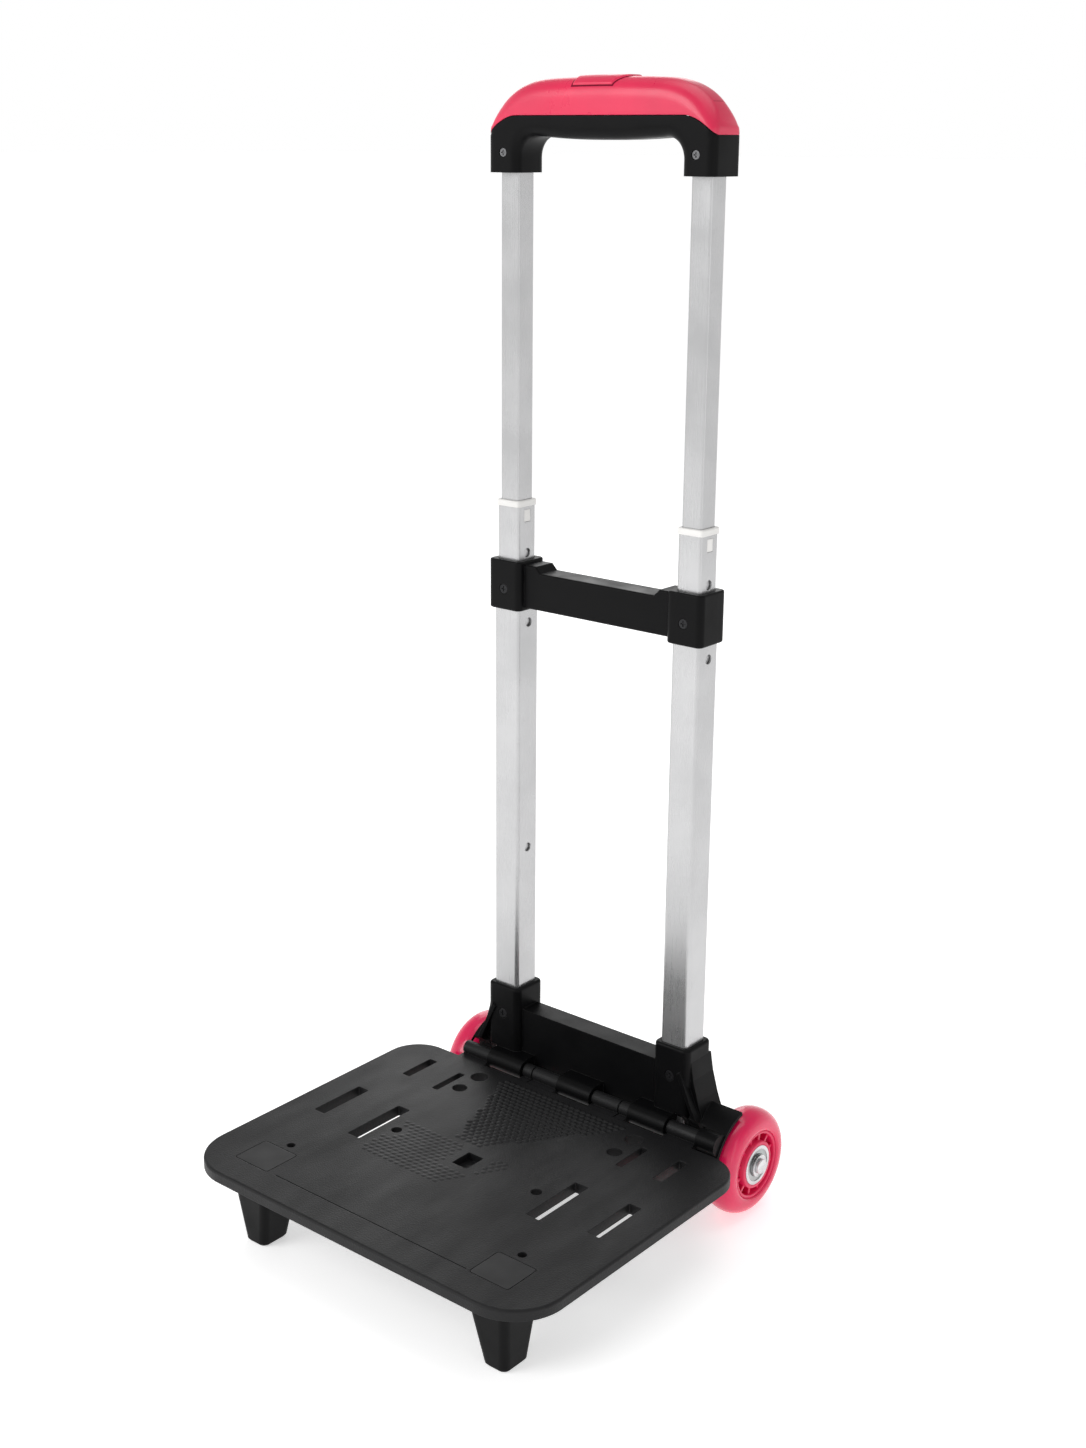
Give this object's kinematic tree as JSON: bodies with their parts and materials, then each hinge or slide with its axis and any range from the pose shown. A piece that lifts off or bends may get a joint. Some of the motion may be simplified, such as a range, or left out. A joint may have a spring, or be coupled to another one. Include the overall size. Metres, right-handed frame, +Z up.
{
  "type": "folding platform cart",
  "caption": "Folding luggage cart with a telescopic pull handle, fold-up slotted deck on front feet, rear wheels with ball bearings and a push-button release.",
  "frame": {"origin": "centre of the overall bounding box in plan, on the floor, deck down and handle part raised as in the picture", "axes": "+Z up, -Y towards the deck's front edge, +X to the cart's right hand when the deck points at the viewer"},
  "size_m": [0.278, 0.29, 0.698],
  "materials": {
    "black_plastic": "moulded black plastic, fine grain",
    "deck_plastic": "textured dark grey plastic",
    "aluminium_tube": "satin drawn aluminium",
    "pale_plastic": "pale nylon",
    "steel": "plated steel",
    "dark_steel": "blackened steel",
    "pink_plastic": "soft-gloss pink plastic",
    "pink_tyre": "cast pink polyurethane"
  },
  "bodies": {
    "base": {"base_bracket": "black_plastic", "axle": "steel", "axle_circlips": "steel", "axle_washers": "steel", "hinge_pin": "steel", "socket_screws": "dark_steel", "crossbar_clamp": "black_plastic", "crossbar_screws": "dark_steel", "outer_tube_left": "aluminium_tube", "outer_tube_right": "aluminium_tube", "bearing_inner_races_left": "steel", "bearing_inner_races_right": "steel", "bearing_spacer_left": "steel", "bearing_spacer_right": "steel"},
    "deck": {"deck_platform": "deck_plastic", "foot_left": "black_plastic", "foot_right": "black_plastic"},
    "wheel_left": {"tyre_left": "pink_tyre", "wheel_core_left": "pink_plastic", "bearing_outer_races_left": "steel", "bearing_shields_left": "steel", "bearing_balls_left": "steel"},
    "wheel_right": {"tyre_right": "pink_tyre", "wheel_core_right": "pink_plastic", "bearing_outer_races_right": "steel", "bearing_shields_right": "steel", "bearing_balls_right": "steel"},
    "middle_stage": {"middle_tube_left": "aluminium_tube", "middle_tube_right": "aluminium_tube", "middle_tube_collar_left": "pale_plastic", "middle_tube_collar_right": "pale_plastic", "middle_tube_guide_left": "pale_plastic", "middle_tube_guide_right": "pale_plastic"},
    "inner_stage": {"inner_tube_left": "aluminium_tube", "inner_tube_right": "aluminium_tube", "lock_housing_left": "pale_plastic", "lock_housing_right": "pale_plastic", "handle_grip": "black_plastic", "handle_cover": "pink_plastic", "handle_screws": "steel"},
    "button": {"release_button": "pink_plastic", "button_yoke": "black_plastic", "button_spring": "steel", "push_rod_left": "steel", "push_rod_right": "steel"},
    "pin_left": {"lock_pin_left": "steel"},
    "pin_right": {"lock_pin_right": "steel"}
  },
  "joints": [
    {"name": "platform_fold", "type": "hinge", "parent": "base", "child": "deck", "pos_m": [0, 0.077, 0.06], "axis": [-1, 0, 0], "range_deg": [0, 90]},
    {"name": "wheel_spin_left", "type": "hinge", "parent": "base", "child": "wheel_left", "pos_m": [-0.109, 0.11, 0.035], "axis": [1, 0, 0], "continuous": true},
    {"name": "wheel_spin_right", "type": "hinge", "parent": "base", "child": "wheel_right", "pos_m": [0.109, 0.11, 0.035], "axis": [1, 0, 0], "continuous": true},
    {"name": "middle_slide", "type": "slide", "parent": "base", "child": "middle_stage", "axis": [0, 0, 1], "range_m": [-0.033, 0.235]},
    {"name": "inner_slide", "type": "slide", "parent": "middle_stage", "child": "inner_stage", "axis": [0, 0, 1], "range_m": [-0.195, 0.08]},
    {"name": "button_press", "type": "slide", "parent": "inner_stage", "child": "button", "axis": [0, 0, -1], "range_m": [0, 0.004], "stiffness_N_per_m": 900, "springref_m": -0.001, "deforming": ["button_spring"]},
    {"name": "lock_slide_left", "type": "slide", "parent": "inner_stage", "child": "pin_left", "axis": [1, 0, 0], "range_m": [0, 0.0024]},
    {"name": "lock_slide_right", "type": "slide", "parent": "inner_stage", "child": "pin_right", "axis": [-1, 0, 0], "range_m": [0, 0.0024]}
  ],
  "couplings": [
    {"joint": "lock_slide_left", "follows": "button_press", "ratio": 0.6},
    {"joint": "lock_slide_right", "follows": "button_press", "ratio": 0.6}
  ]
}
